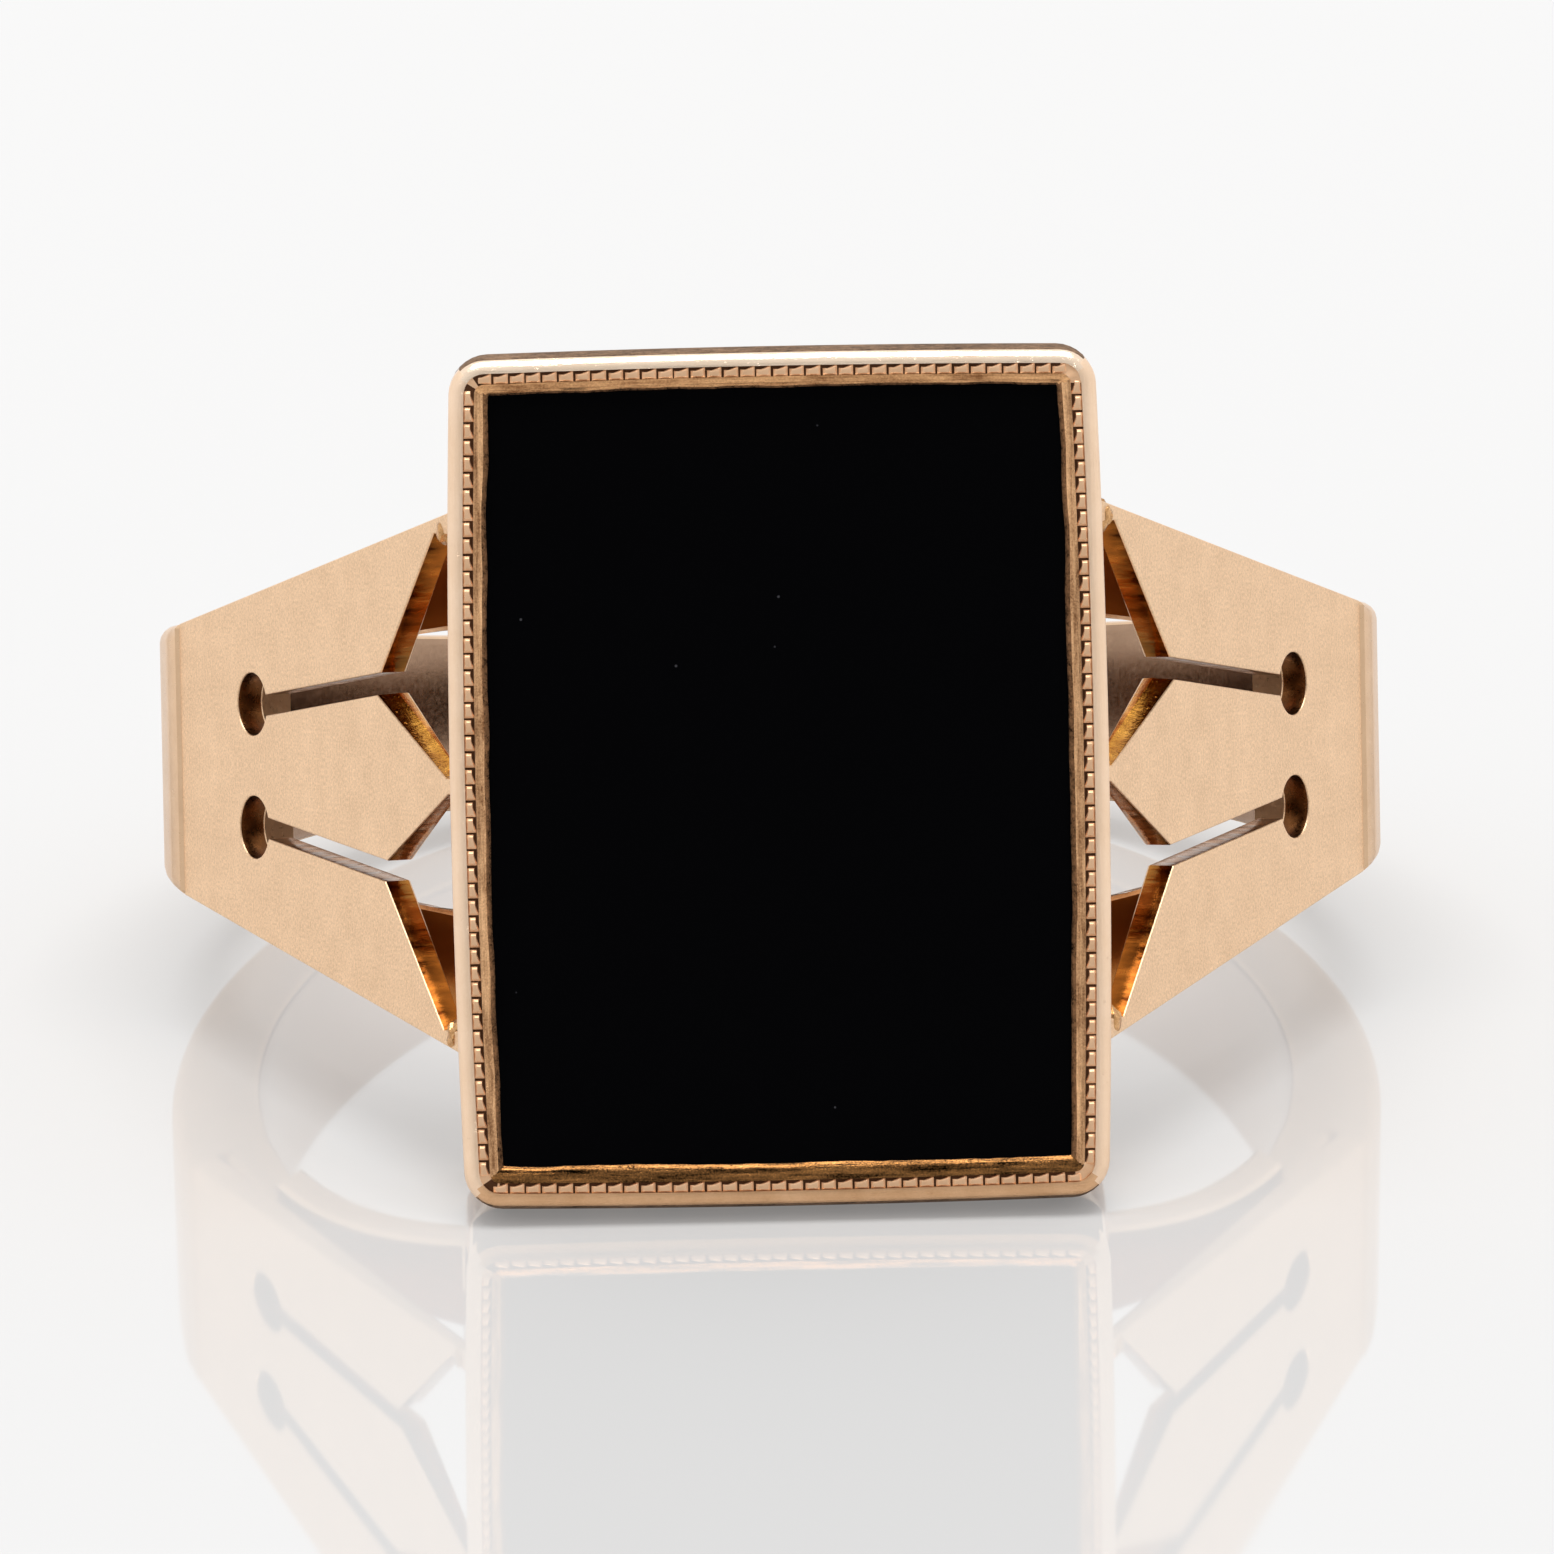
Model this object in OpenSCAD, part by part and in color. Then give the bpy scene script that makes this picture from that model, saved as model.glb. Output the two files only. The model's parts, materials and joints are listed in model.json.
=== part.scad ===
// Signet ring: a flat rectangular stone in a box bezel, carried by two pierced
// shoulder plates and four inner arms on a tapering hoop.
// Units are millimetres. The ring lies on its side, on the lower edge of the
// bezel and the lower rim of the hoop, with the stone looking towards -Y.
// The modules draw in the ring's own axes and at_rest() lays the ring down:
// X runs across the ring, -Y points out of the stone, Z runs along the finger,
// and the middle of the finger hole is at 0, 0, 0.

/* [Finger hole] */
// Inner diameter, across the finger
finger_d = 18.5; // [14:0.1:23]

/* [Hoop] */
// Width of the ring, straight across the hoop
hoop_across = 21.8; // [18:0.1:28]
// Thickness of the hoop behind the finger
hoop_back_t = 1.2; // [0.8:0.05:2.5]
// Height of the hoop where the shoulder plates stop
hoop_side_h = 4.8; // [3:0.1:8]
// Height of the hoop behind the finger
hoop_back_h = 2.9; // [1.5:0.1:6]
// How far the hoop runs on under the end of each plate
hoop_lap = 1.8; // [0.8:0.1:2.2]

/* [Bezel] */
// Width of the bezel, across the finger
bezel_w = 11.25; // [8:0.05:16]
// Height of the bezel, along the finger
bezel_h = 14.6; // [10:0.05:20]
// Depth of the bezel box, from the rim to its open back
bezel_depth = 3.05; // [2.4:0.05:4]
// Height of the rim above the finger, at the middle of the ring
head_height = 3.1; // [2.6:0.05:5]
// Thickness of the bezel walls
wall_t = 0.5; // [0.35:0.05:1]
// Depth of the upright part of the walls, before they slope in
upright = 1.25; // [1:0.05:2]
// Slope of the two short walls towards the finger, in degrees
short_wall_slope = 18; // [16:1:30]
// Radius of the upright corners
corner_r = 0.6; // [0.3:0.05:1.5]
// Radius of the rounded shoulder of the rim
rim_r = 0.28; // [0.1:0.02:0.4]
// How far the rim is pressed over the stone
lip_over = 0.17; // [0.1:0.01:0.4]
// Depth of the bright bevel, from the rim down to the stone
lip_drop = 0.22; // [0.1:0.01:0.4]

/* [Beaded line] */
// Width of the beaded line
bead_w = 0.14; // [0.08:0.01:0.3]
// Height of the beads above the rim
bead_up = 0.07; // [0.04:0.01:0.2]
// Distance from one bead to the next
bead_pitch = 0.28; // [0.2:0.01:0.6]
// Width of the notch between two beads
bead_gap = 0.06; // [0.04:0.01:0.2]
// Height left under each notch
bead_base = 0.02; // [0.01:0.01:0.1]
// Distance from the outside of the bezel to the middle of the beaded line
bead_in = 0.38; // [0.3:0.01:0.6]

/* [Stone] */
// Thickness of the stone
stone_t = 1.2; // [0.8:0.05:1.6]
// Height of the ledge under the stone
seat_t = 0.65; // [0.4:0.05:0.8]
// Width of the ledge under the stone
seat_w = 0.85; // [0.5:0.05:2]

/* [Shoulder plates] */
// Thickness of the sheet
plate_t = 0.5; // [0.3:0.05:0.7]
// Angle between a plate and the face of the ring, in degrees
plate_angle = 61.5; // [58:0.5:66]
// How far behind the rim a plate meets the bezel
plate_drop = 0.75; // [0.5:0.05:1]
// Length of a plate, from the bezel to the hoop
plate_l = 10.1; // [8.5:0.05:10.5]
// Height of a plate at the bezel
plate_bezel_h = 9.2; // [6:0.1:13]
// Height of a plate at the hoop
plate_hoop_h = 4.8; // [3:0.1:8]
// Diameter of the round holes
hole_d = 1.1; // [0.6:0.05:1.6]
// Distance between the two holes
hole_apart = 2.16; // [1.6:0.02:3]
// Distance from the bezel to the holes
hole_along = 7.35; // [6:0.05:7.6]
// Width of the saw cuts
saw_w = 0.36; // [0.2:0.02:0.6]
// Distance from the bezel to the ends of the saw cuts
saw_along = 2.43; // [1.5:0.01:4]
// Distance between the two saw cuts where they open out
saw_apart = 3.24; // [2:0.02:5]
// Height of the blunt tip of the tongue
tongue_tip_h = 0.4; // [0.2:0.05:1]
// Height between the two wing tips
wing_gap = 8.5; // [5:0.1:12]
// Length of the blunt end of each wing tip
wing_tip_l = 0.45; // [0.2:0.05:1]

/* [Inner arms] */
// Thickness of the arms
arm_t = 0.5; // [0.3:0.05:0.6]
// Height over both arms at the bezel
arm_bezel_h = 8.6; // [5:0.1:12]
// Height over both arms at the hoop
arm_hoop_h = 5; // [3:0.1:8]
// Gap between the arms at the bezel
arm_bezel_gap = 4.9; // [2:0.1:8]
// Gap between the arms at the hoop
arm_hoop_gap = 3.5; // [2:0.1:6]

/* [Hidden] */
eps = 0.01;
// finger hole and hoop circles, seen along the finger
finger_r = finger_d / 2;
arm_r = finger_r + arm_t;
hoop_r = hoop_across / 2;
back_y = finger_r + hoop_back_t;
hoop_cy = back_y - hoop_r;
// levels of the head, negative towards the viewer of the stone
rim_y = -(finger_r + head_height);
box_back_y = rim_y + bezel_depth;
slope_y = rim_y + upright;
stone_y = rim_y + lip_drop;
seat_y = stone_y + stone_t;
// half sizes of the bezel and of what sits in it
half_w = bezel_w / 2;
half_h = bezel_h / 2;
in_w = half_w - wall_t;
in_h = half_h - wall_t;
view_w = in_w - lip_over;
view_h = in_h - lip_over;
seat_gap_w = in_w - seat_w;
seat_gap_h = in_h - seat_w;
slope_in = (box_back_y - slope_y) * tan(short_wall_slope);
// where a plate starts and how it lies
plate_x = half_w;
plate_y = rim_y + plate_drop;
hoop_end = plate_l - hoop_lap;
end_x = plate_x + plate_l * cos(plate_angle);
end_y = plate_y + plate_l * sin(plate_angle);
lap_x = plate_x + hoop_end * cos(plate_angle);
lap_y = plate_y + hoop_end * sin(plate_angle);
// how the ring lies: lower edge of the bezel and back of the hoop touch z = 0
lean = atan2(half_h - hoop_back_h / 2, back_y - slope_y);
floor_z = half_h * cos(lean) + slope_y * sin(lean);
front_edge = (rim_y + rim_r) * cos(lean) - (half_h - rim_r) * sin(lean) - rim_r;
back_edge = back_y * cos(lean) + hoop_back_h / 2 * sin(lean);
middle_y = -(front_edge + back_edge) / 2;

// Lay the ring on its side
module at_rest() {
    translate([0, middle_y, floor_z])
        rotate([-lean, 0, 0])
            children();
}

// A block given by its low and high corners
module block(lo, hi) {
    translate(lo)
        cube(hi - lo);
}

// Axes of the right-hand plate: X along it, Y up the finger, Z out of it
module on_plate() {
    translate([plate_x, plate_y, 0])
        rotate([90, 0, plate_angle])
            children();
}

// A shape drawn as [y, z] points, as deep as the ring is wide
module across(points) {
    rotate([90, 0, 90])
        translate([0, 0, -hoop_across])
            linear_extrude(2 * hoop_across)
                polygon(points);
}

// Hoop: an eccentric band that gets thinner and lower towards the back,
// stepped down at each side to go under the end of a plate
module hoop_outline() {
    half_s = hoop_side_h / 2;
    half_b = hoop_back_h / 2;
    half_l = arm_hoop_h / 2;
    across([
        [lap_y - 2, -half_l],
        [lap_y, -half_l],
        [end_y, -half_s],
        [back_y + 1, -half_b + (half_s - half_b) * -1 / (back_y - end_y)],
        [back_y + 1, half_b - (half_s - half_b) * 1 / (back_y - end_y)],
        [end_y, half_s],
        [lap_y, half_l],
        [lap_y - 2, half_l],
    ]);
}

module hoop_relief() {
    on_plate() {
        block([-8, -6, -plate_t], [plate_l, 6, 4]);
        block([-8, -6, -8], [hoop_end, 6, 4]);
    }
}

module hoop() {
    color("#d9a883")
        at_rest()
            difference() {
                intersection() {
                    translate([0, hoop_cy, -4])
                        cylinder(h = 8, r = hoop_r, $fn = 200);
                    hoop_outline();
                }
                translate([0, 0, -5])
                    cylinder(h = 10, r = finger_r, $fn = 200);
                hoop_relief();
                mirror([1, 0, 0])
                    hoop_relief();
                block([-4, rim_y, -5], [4, -finger_r / 2, 5]);
            }
}

// Inner arms: two strips on each side, along the finger from the hoop to the
// bezel, each with a pad that carries the long wall
module arm_plan() {
    top = arm_bezel_h / 2;
    low = arm_hoop_h / 2;
    gap = arm_bezel_gap / 2;
    end = arm_hoop_gap / 2;
    rotate([90, 0, 0])
        translate([0, 0, 1])
            linear_extrude(-rim_y)
                polygon([
                    [in_w, gap],
                    [half_w, gap],
                    [lap_x, end],
                    [lap_x, low],
                    [half_w, top],
                    [in_w, top],
                ]);
}

module upper_right_arm() {
    difference() {
        intersection() {
            union() {
                translate([0, 0, -5])
                    cylinder(h = 10, r = arm_r, $fn = 200);
                block([in_w, box_back_y, -5], [half_w, -finger_r * 0.6, 5]);
            }
            arm_plan();
        }
        translate([0, 0, -6])
            cylinder(h = 12, r = finger_r, $fn = 200);
        on_plate()
            block([hoop_end, -6, -8], [plate_l + 6, 6, 4]);
    }
}

// The other arms are the same strip, mirrored across or along the finger
module arm(across = 0, along = 0) {
    color("#c98e62")
        at_rest()
            mirror([across, 0, 0])
                mirror([0, 0, along])
                    upper_right_arm();
}

module inner_arm_upper_right() {
    arm();
}

module inner_arm_lower_right() {
    arm(along = 1);
}

module inner_arm_upper_left() {
    arm(across = 1);
}

module inner_arm_lower_left() {
    arm(across = 1, along = 1);
}

// Shoulder plate: flat sheet with two drilled holes, each with a saw cut that
// opens into a notch beside the bezel, which leaves two wings and a tongue
module plate_cut() {
    hole_z = hole_apart / 2;
    saw_z = saw_apart / 2;
    half_saw = saw_w / 2;
    translate([hole_along, hole_z])
        circle(d = hole_d, $fn = 48);
    polygon([
        [hole_along, hole_z - half_saw],
        [saw_along - 0.05, saw_z - half_saw],
        [0.1, tongue_tip_h / 2],
        [-2, tongue_tip_h / 2],
        [-2, wing_gap / 2],
        [wing_tip_l, wing_gap / 2],
        [saw_along + 0.05, saw_z + half_saw],
        [hole_along, hole_z + half_saw],
    ]);
}

module plate_outline() {
    half_b = plate_bezel_h / 2;
    half_e = plate_hoop_h / 2;
    grow = (half_b - half_e) / plate_l * 2;
    polygon([
        [-2, -half_b - grow],
        [plate_l, -half_e],
        [plate_l, half_e],
        [-2, half_b + grow],
    ]);
}

module plate_right() {
    difference() {
        on_plate()
            translate([0, 0, -plate_t])
                linear_extrude(plate_t)
                    difference() {
                        plate_outline();
                        plate_cut();
                        mirror([0, 1])
                            plate_cut();
                    }
        block([0, rim_y - 3, -8], [half_w, 0, 8]);
    }
}

module shoulder_plate_right() {
    color("#ecc6a0")
        at_rest()
            plate_right();
}

module shoulder_plate_left() {
    color("#ecc6a0")
        at_rest()
            mirror([1, 0, 0])
                plate_right();
}

// Section of the bezel box along one axis: upright, then sloping in by step
module box_side(half, step) {
    polygon([
        [-half, slope_y],
        [-half, rim_y + rim_r],
        [-half + rim_r, rim_y + rim_r],
        [-half + rim_r, rim_y],
        [half - rim_r, rim_y],
        [half - rim_r, rim_y + rim_r],
        [half, rim_y + rim_r],
        [half, slope_y],
        [half - step, box_back_y],
        [-half + step, box_back_y],
    ]);
    for (side = [-1, 1])
        translate([side * (half - rim_r), rim_y + rim_r])
            circle(r = rim_r, $fn = 48);
}

// Space inside the box below the stone, by the same two sections
module room_side(half, step) {
    polygon([
        [-half, slope_y - 3],
        [-half, slope_y],
        [-half + step, box_back_y],
        [-half + step * 2, box_back_y * 2 - slope_y],
        [half - step * 2, box_back_y * 2 - slope_y],
        [half - step, box_back_y],
        [half, slope_y],
        [half, slope_y - 3],
    ]);
}

// Extrude a section drawn as [x, y] along the finger
module along_finger() {
    translate([0, 0, -bezel_h])
        linear_extrude(2 * bezel_h)
            children();
}

// Extrude a section drawn as [z, y] across the finger
module across_finger() {
    rotate([0, -90, 0])
        translate([0, 0, -bezel_w])
            linear_extrude(2 * bezel_w)
                children();
}

module rounded_plan() {
    rotate([90, 0, 0])
        translate([0, 0, -rim_y - 4])
            linear_extrude(8)
                union() {
                    square([bezel_w, bezel_h - 2 * corner_r], center = true);
                    square([bezel_w - 2 * corner_r, bezel_h], center = true);
                    for (x = [-1, 1], z = [-1, 1])
                        translate([x * (half_w - corner_r), z * (half_h - corner_r)])
                            circle(r = corner_r, $fn = 48);
                }
}

module lip_side(half) {
    polygon([
        [-half - 0.22, rim_y - 0.01],
        [-half, stone_y - 0.05],
        [-half, stone_y + 0.1],
        [half, stone_y + 0.1],
        [half, stone_y - 0.05],
        [half + 0.22, rim_y - 0.01],
    ]);
}

module under_room() {
    intersection() {
        along_finger()
            room_side(in_w, 0);
        across_finger()
            room_side(in_h, slope_in);
    }
}

module bezel() {
    color("#e0b088")
        at_rest()
            difference() {
                intersection() {
                    along_finger()
                        box_side(half_w, 0);
                    across_finger()
                        box_side(half_h, slope_in);
                    rounded_plan();
                }
                block([-in_w, stone_y, -in_h], [in_w, slope_y, in_h]);
                intersection() {
                    under_room();
                    block([-in_w, slope_y - eps, -in_h], [in_w, 0, in_h]);
                }
                intersection() {
                    along_finger()
                        lip_side(view_w);
                    across_finger()
                        lip_side(view_h);
                }
            }
}

// Beaded line: a fine raised frame on the rim, notched across at every step
function bead_profile(half, n) = [
    [-half, rim_y],
    [-half, rim_y - bead_up],
    for (i = [0:n])
        each [
            [(i - n / 2) * bead_pitch - bead_gap / 2, rim_y - bead_up],
            [(i - n / 2) * bead_pitch - bead_gap / 2, rim_y - bead_base],
            [(i - n / 2) * bead_pitch + bead_gap / 2, rim_y - bead_base],
            [(i - n / 2) * bead_pitch + bead_gap / 2, rim_y - bead_up],
        ],
    [half, rim_y - bead_up],
    [half, rim_y],
];

module beaded_rim_line() {
    out_w = half_w - bead_in + bead_w / 2;
    out_h = half_h - bead_in + bead_w / 2;
    side_n = floor((out_w * 2 - 1.2) / bead_pitch);
    long_n = floor((out_h * 2 - 1.2) / bead_pitch);
    color("#c9935f")
        at_rest()
            for (side = [-1, 1]) {
                translate([0, 0, side * (out_h - bead_w / 2) - bead_w / 2])
                    linear_extrude(bead_w)
                        polygon(bead_profile(out_w, side_n));
                translate([side * (out_w - bead_w / 2) + bead_w / 2, 0, 0])
                    rotate([0, -90, 0])
                        linear_extrude(bead_w)
                            polygon(bead_profile(out_h, long_n));
            }
}

// Seat: the ledge inside the box that the stone rests on
module stone_seat() {
    color("#c98e62")
        at_rest()
            difference() {
                intersection() {
                    under_room();
                    block([-in_w, seat_y, -in_h], [in_w, seat_y + seat_t, in_h]);
                }
                block(
                    [-seat_gap_w, seat_y - 1, -seat_gap_h],
                    [seat_gap_w, 0, seat_gap_h]
                );
            }
}

// Stone: a flat polished tablet, held by the seat behind and the lip in front
module onyx_stone() {
    gap = 0.02;
    color("#0a0a0c")
        at_rest()
            block(
                [-in_w + gap, stone_y, -in_h + 0.06],
                [in_w - gap, seat_y, in_h - 0.06]
            );
}

hoop();
inner_arm_upper_left();
inner_arm_lower_left();
inner_arm_upper_right();
inner_arm_lower_right();
shoulder_plate_left();
shoulder_plate_right();
bezel();
beaded_rim_line();
stone_seat();
onyx_stone();
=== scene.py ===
"""Signet ring with a flat black stone, lying on its side on a white glossy floor.

The pieces are drawn in the ring's own axes, in millimetres: X across the ring,
-Y out of the stone, Z along the finger, with the middle of the finger hole at
the origin. The matrix RING takes them to the frame, in metres.
"""
import json
import math
import random

import bmesh
import bpy
from mathutils import Matrix, Vector, noise
from mathutils.geometry import tessellate_polygon


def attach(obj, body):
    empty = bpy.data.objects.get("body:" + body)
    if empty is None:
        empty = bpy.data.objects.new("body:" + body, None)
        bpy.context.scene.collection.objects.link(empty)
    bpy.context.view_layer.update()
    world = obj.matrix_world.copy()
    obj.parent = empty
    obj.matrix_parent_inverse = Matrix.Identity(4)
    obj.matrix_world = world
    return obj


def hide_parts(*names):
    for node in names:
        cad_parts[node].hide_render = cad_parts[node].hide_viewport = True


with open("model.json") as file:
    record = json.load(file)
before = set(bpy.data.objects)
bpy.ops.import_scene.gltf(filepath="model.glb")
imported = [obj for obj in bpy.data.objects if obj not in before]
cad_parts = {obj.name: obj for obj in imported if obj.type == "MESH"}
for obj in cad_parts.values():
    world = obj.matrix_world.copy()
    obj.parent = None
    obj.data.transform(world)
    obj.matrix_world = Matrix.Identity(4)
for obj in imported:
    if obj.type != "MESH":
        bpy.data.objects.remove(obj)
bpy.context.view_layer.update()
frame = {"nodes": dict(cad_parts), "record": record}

MM = 0.001
mount = frame["record"]["mounts"][0]
FINGER_R = mount["dims"]["r_mm"]
AXIS = Vector(mount["axis"]).normalized()
ACROSS = Vector((1, 0, 0))
DEEP = AXIS.cross(ACROSS)
RING_TURN = Matrix((ACROSS, DEEP, AXIS)).transposed().to_4x4()
RING = Matrix.Translation(mount["pos_m"]) @ RING_TURN @ Matrix.Scale(MM, 4)


def local_box(node):
    """Lowest and highest corner of a CAD node in the ring's own axes, in millimetres."""
    obj = frame["nodes"][node]
    back = RING.inverted() @ obj.matrix_world
    points = [back @ v.co for v in obj.data.vertices]
    low = Vector([min(p[i] for p in points) for i in range(3)])
    high = Vector([max(p[i] for p in points) for i in range(3)])
    return low, high


BEZEL_LOW, BEZEL_HIGH = local_box("bezel")
STONE_LOW, STONE_HIGH = local_box("onyx_stone")
HOOP_HIGH = local_box("hoop")[1]
HALF_W = BEZEL_HIGH.x
HALF_H = BEZEL_HIGH.z
RIM_Y = BEZEL_LOW.y
BOX_BACK_Y = BEZEL_HIGH.y
STONE_Y = STONE_LOW.y

CORNERS = ((1, 1), (-1, 1), (-1, -1), (1, -1))
# bezel: its wall, lip and rounded rim, how far its sides bow, where its short walls start to slope
WALL_T = 0.5
LIP_W = 0.67
CORNER_R = 0.6
LEAST_CORNER_R = 0.03
CORNER_STEPS = 8
SIDE_STEPS = 48
FACE_Y = RIM_Y + 0.04
SHOULDER_R = 0.26
SHOULDER_TURN = math.radians(82)
SHOULDER_STEPS = 9
TURN_STEPS = 3
BACK_EDGE = 0.05
SHORT_WALL_BOW = 0.055
LONG_BULGE = 0.13
SHORT_BULGE = 0.06
SLOPE_Y = RIM_Y + 1.25
SLOPE_IN = (BOX_BACK_Y - SLOPE_Y) * math.tan(math.radians(18))
# the lip inside the beaded line: inset, depth behind the rim, ripple, part
LIP = (
    (0.49, 0.055, 0.012, "bevel"),
    (0.54, 0.075, 0.02, "bevel"),
    (0.59, 0.1, 0.03, "brink"),
    (0.635, 0.135, 0.038, "edge"),
    (LIP_W, 0.18, 0.04, "edge"),
)
LIP_RIPPLE = 0.04
OPENING_UP = 0.045
# beaded line, and the groove under it, which breaks up near the corners
BEAD_IN = 0.35
BEAD_END = 0.64
BEAD_PITCH = 0.28
BEAD_SHIFT = 0.008
BEAD_L = 0.245
BEAD_W = 0.17
BEAD_H = 0.042
BEAD_H_VARIES = 0.006
BEAD_FOOT_Y = RIM_Y + 0.07
BEAD_ROOT = 0.03
BEAD_POINTS = 7
# how far and how much of a bead's open side stands back to show a dash of painted shade
DASH = 0.05
DASH_END = 0.7
GROOVE_DEEP = 0.05
GROOVE_SIDE = 0.006
GROOVE_FROM = 0.6
GROOVE_FADE = 0.2
# stone: radius of its upright corners, width of the bevel round its faces
STONE_CORNER_R = 0.06
STONE_EDGE = 0.05
# shoulder plates, with half heights
PLATE_ANGLE = math.radians(61.5)
PLATE_T = 0.5
PLATE_L = 10.1
PLATE_BEZEL_H = 4.6
PLATE_HOOP_H = 2.4
PLATE_BEHIND_RIM = 0.75
PLATE_FOOT = Vector((HALF_W, RIM_Y + PLATE_BEHIND_RIM, 0))
PLATE_ALONG = Vector((math.cos(PLATE_ANGLE), math.sin(PLATE_ANGLE), 0))
PLATE_OUT = Vector((math.sin(PLATE_ANGLE), -math.cos(PLATE_ANGLE), 0))
PLATE_FACE = PLATE_FOOT.dot(PLATE_OUT)
PLATE_SLOPE = (PLATE_BEZEL_H - PLATE_HOOP_H) / PLATE_L
# the plates' cuts: places along the plate and above its middle, and where its tips are sunk
PLATE_START = -0.25
INSIDE_BEZEL_X = HALF_W - LONG_BULGE - 0.02
WING_FOOT = Vector((0.45, 4.25))
NOTCH_END = Vector((2.48, 1.8))
TONGUE_CORNER = Vector((2.38, 1.44))
TONGUE_TIP = Vector((0.1, 0.2))
HOLE_AT = Vector((7.35, 1.08))
HOLE_R = 0.55
HOLE_STEPS = 40
HALF_SAW = 0.18
# filing of the tongue's top: how much at the face, how each end moves for it, how deep it starts
TONGUE_FILED = 0.15
FILED_CORNER = Vector((1.71, -0.21))
FILED_TIP = Vector((0.48, -0.88))
FILED_FROM = -0.3
# solder at the tips: place along the plate, out of its face, and by height the half sizes
SOLDER_ALONG = 0.2
SOLDER_OUT = -0.14
SOLDER_AT = ((-4.33, (0.17, 0.22, 0.27)), (0.0, (0.12, 0.17, 0.12)), (4.33, (0.17, 0.22, 0.27)))
# hoop, with half heights, and its laps under the plates
HOOP_R = HOOP_HIGH.x
HOOP_MID = Vector((0, HOOP_HIGH.y - HOOP_R, 0))
HOOP_BACK_H = 1.45
HOOP_END_Y = PLATE_FOOT.y + PLATE_L * math.sin(PLATE_ANGLE)
HOOP_INNER_R = 0.16
HOOP_OUTER_R = 0.28
HOOP_CROWN = 0.07
HOOP_STEPS = 128
HOOP_INSIDE_TO = FINGER_R + 0.06
LAP_ALONG = 8.3
LAP_H = 2.5
# arms, with the heights of their lower and upper edge, by the bezel and by the hoop
ARM_R = FINGER_R + 0.5
ARM_LOW_EDGE = (2.45, 1.75)
ARM_HIGH_EDGE = (4.3, 2.5)
ARM_BEVEL = 0.07
ARM_STEPS = 18
ARM_PAD_X = HALF_W - 0.01
# meshes: how near a face lies to the edge or hole it belongs to, how close points are merged,
# how far a mitred corner may reach, and the turn above which an edge is sharp
NEAR = 0.05
MERGE = 1e-4
LEAST_LEAN = 0.45
SMOOTH_BELOW = math.radians(32)


def on_plate(along, up, out=0):
    """A point of the right-hand plate, from its own axes to the ring's."""
    return PLATE_FOOT + PLATE_ALONG * along + PLATE_OUT * out + Vector((0, 0, up))


def along_plate(p):
    """How far along the right-hand plate a point lies."""
    return (p - PLATE_FOOT).dot(PLATE_ALONG)


# ---------------------------------------------------------------- materials

def add(tree, kind, **values):
    """A node with some of its input values set."""
    node = tree.nodes.new(kind)
    for key, value in values.items():
        node.inputs[key].default_value = value
    return node


def ring_coordinates(tree, stretch=(1, 1, 1), on_plates=False):
    """Place on the object in millimetres, stretched, in the ring's axes.

    on_plates gives the plates' own axes instead, the same on both sides: along, out of the
    face, up.
    """
    where = tree.nodes.new("ShaderNodeTexCoord")
    inverse = RING.inverted()
    place = tree.nodes.new("ShaderNodeMapping")
    place.inputs["Scale"].default_value = inverse.to_scale()
    place.inputs["Rotation"].default_value = inverse.to_euler()
    place.inputs["Location"].default_value = inverse.to_translation()
    tree.links.new(where.outputs["Object"], place.inputs["Vector"])
    if on_plates:
        folded = tree.nodes.new("ShaderNodeVectorMath")
        folded.operation = "ABSOLUTE"
        tree.links.new(place.outputs["Vector"], folded.inputs[0])
        place = tree.nodes.new("ShaderNodeMapping")
        place.inputs["Rotation"].default_value = (0, 0, PLATE_ANGLE)
        place.inputs["Location"].default_value = (0, -PLATE_FACE, 0)
        tree.links.new(folded.outputs["Vector"], place.inputs["Vector"])
    scale = tree.nodes.new("ShaderNodeVectorMath")
    scale.operation = "MULTIPLY"
    scale.inputs[1].default_value = stretch
    tree.links.new(place.outputs["Vector"], scale.inputs[0])
    return scale.outputs["Vector"]


def noise_at(tree, where, scale, detail, rough=0.55):
    """Noise at a place, with so many features to the millimetre."""
    node = add(tree, "ShaderNodeTexNoise", Scale=scale, Detail=detail, Roughness=rough)
    tree.links.new(where, node.inputs["Vector"])
    return node.outputs["Fac"]


def remap(tree, value, low, high, to_low, to_high):
    """A value moved from one range to another, and held within it."""
    node = tree.nodes.new("ShaderNodeMapRange")
    ends = {"From Min": low, "From Max": high, "To Min": to_low, "To Max": to_high}
    for key, number in ends.items():
        node.inputs[key].default_value = number
    tree.links.new(value, node.inputs["Value"])
    return node.outputs["Result"]


def two_tone(tree, value, dark, light, low=0, high=1):
    """A colour from dark to light as the value goes from low to high."""
    ramp = tree.nodes.new("ShaderNodeValToRGB")
    ramp.color_ramp.elements[0].position = low
    ramp.color_ramp.elements[0].color = (*dark, 1)
    ramp.color_ramp.elements[1].position = high
    ramp.color_ramp.elements[1].color = (*light, 1)
    tree.links.new(value, ramp.inputs["Fac"])
    return ramp.outputs["Color"]


def bump(tree, height, depth_mm, strength, under=None):
    """A normal from a height, laid over the normal under it."""
    node = add(tree, "ShaderNodeBump", Strength=strength, Distance=depth_mm * MM)
    tree.links.new(height, node.inputs["Height"])
    if under is not None:
        tree.links.new(under, node.inputs["Normal"])
    return node.outputs["Normal"]


def new_material(name):
    """A material, its node tree and its shader."""
    made = bpy.data.materials.new(name)
    made.use_nodes = True
    tree = made.node_tree
    return made, tree, tree.nodes["Principled BSDF"]


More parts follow.
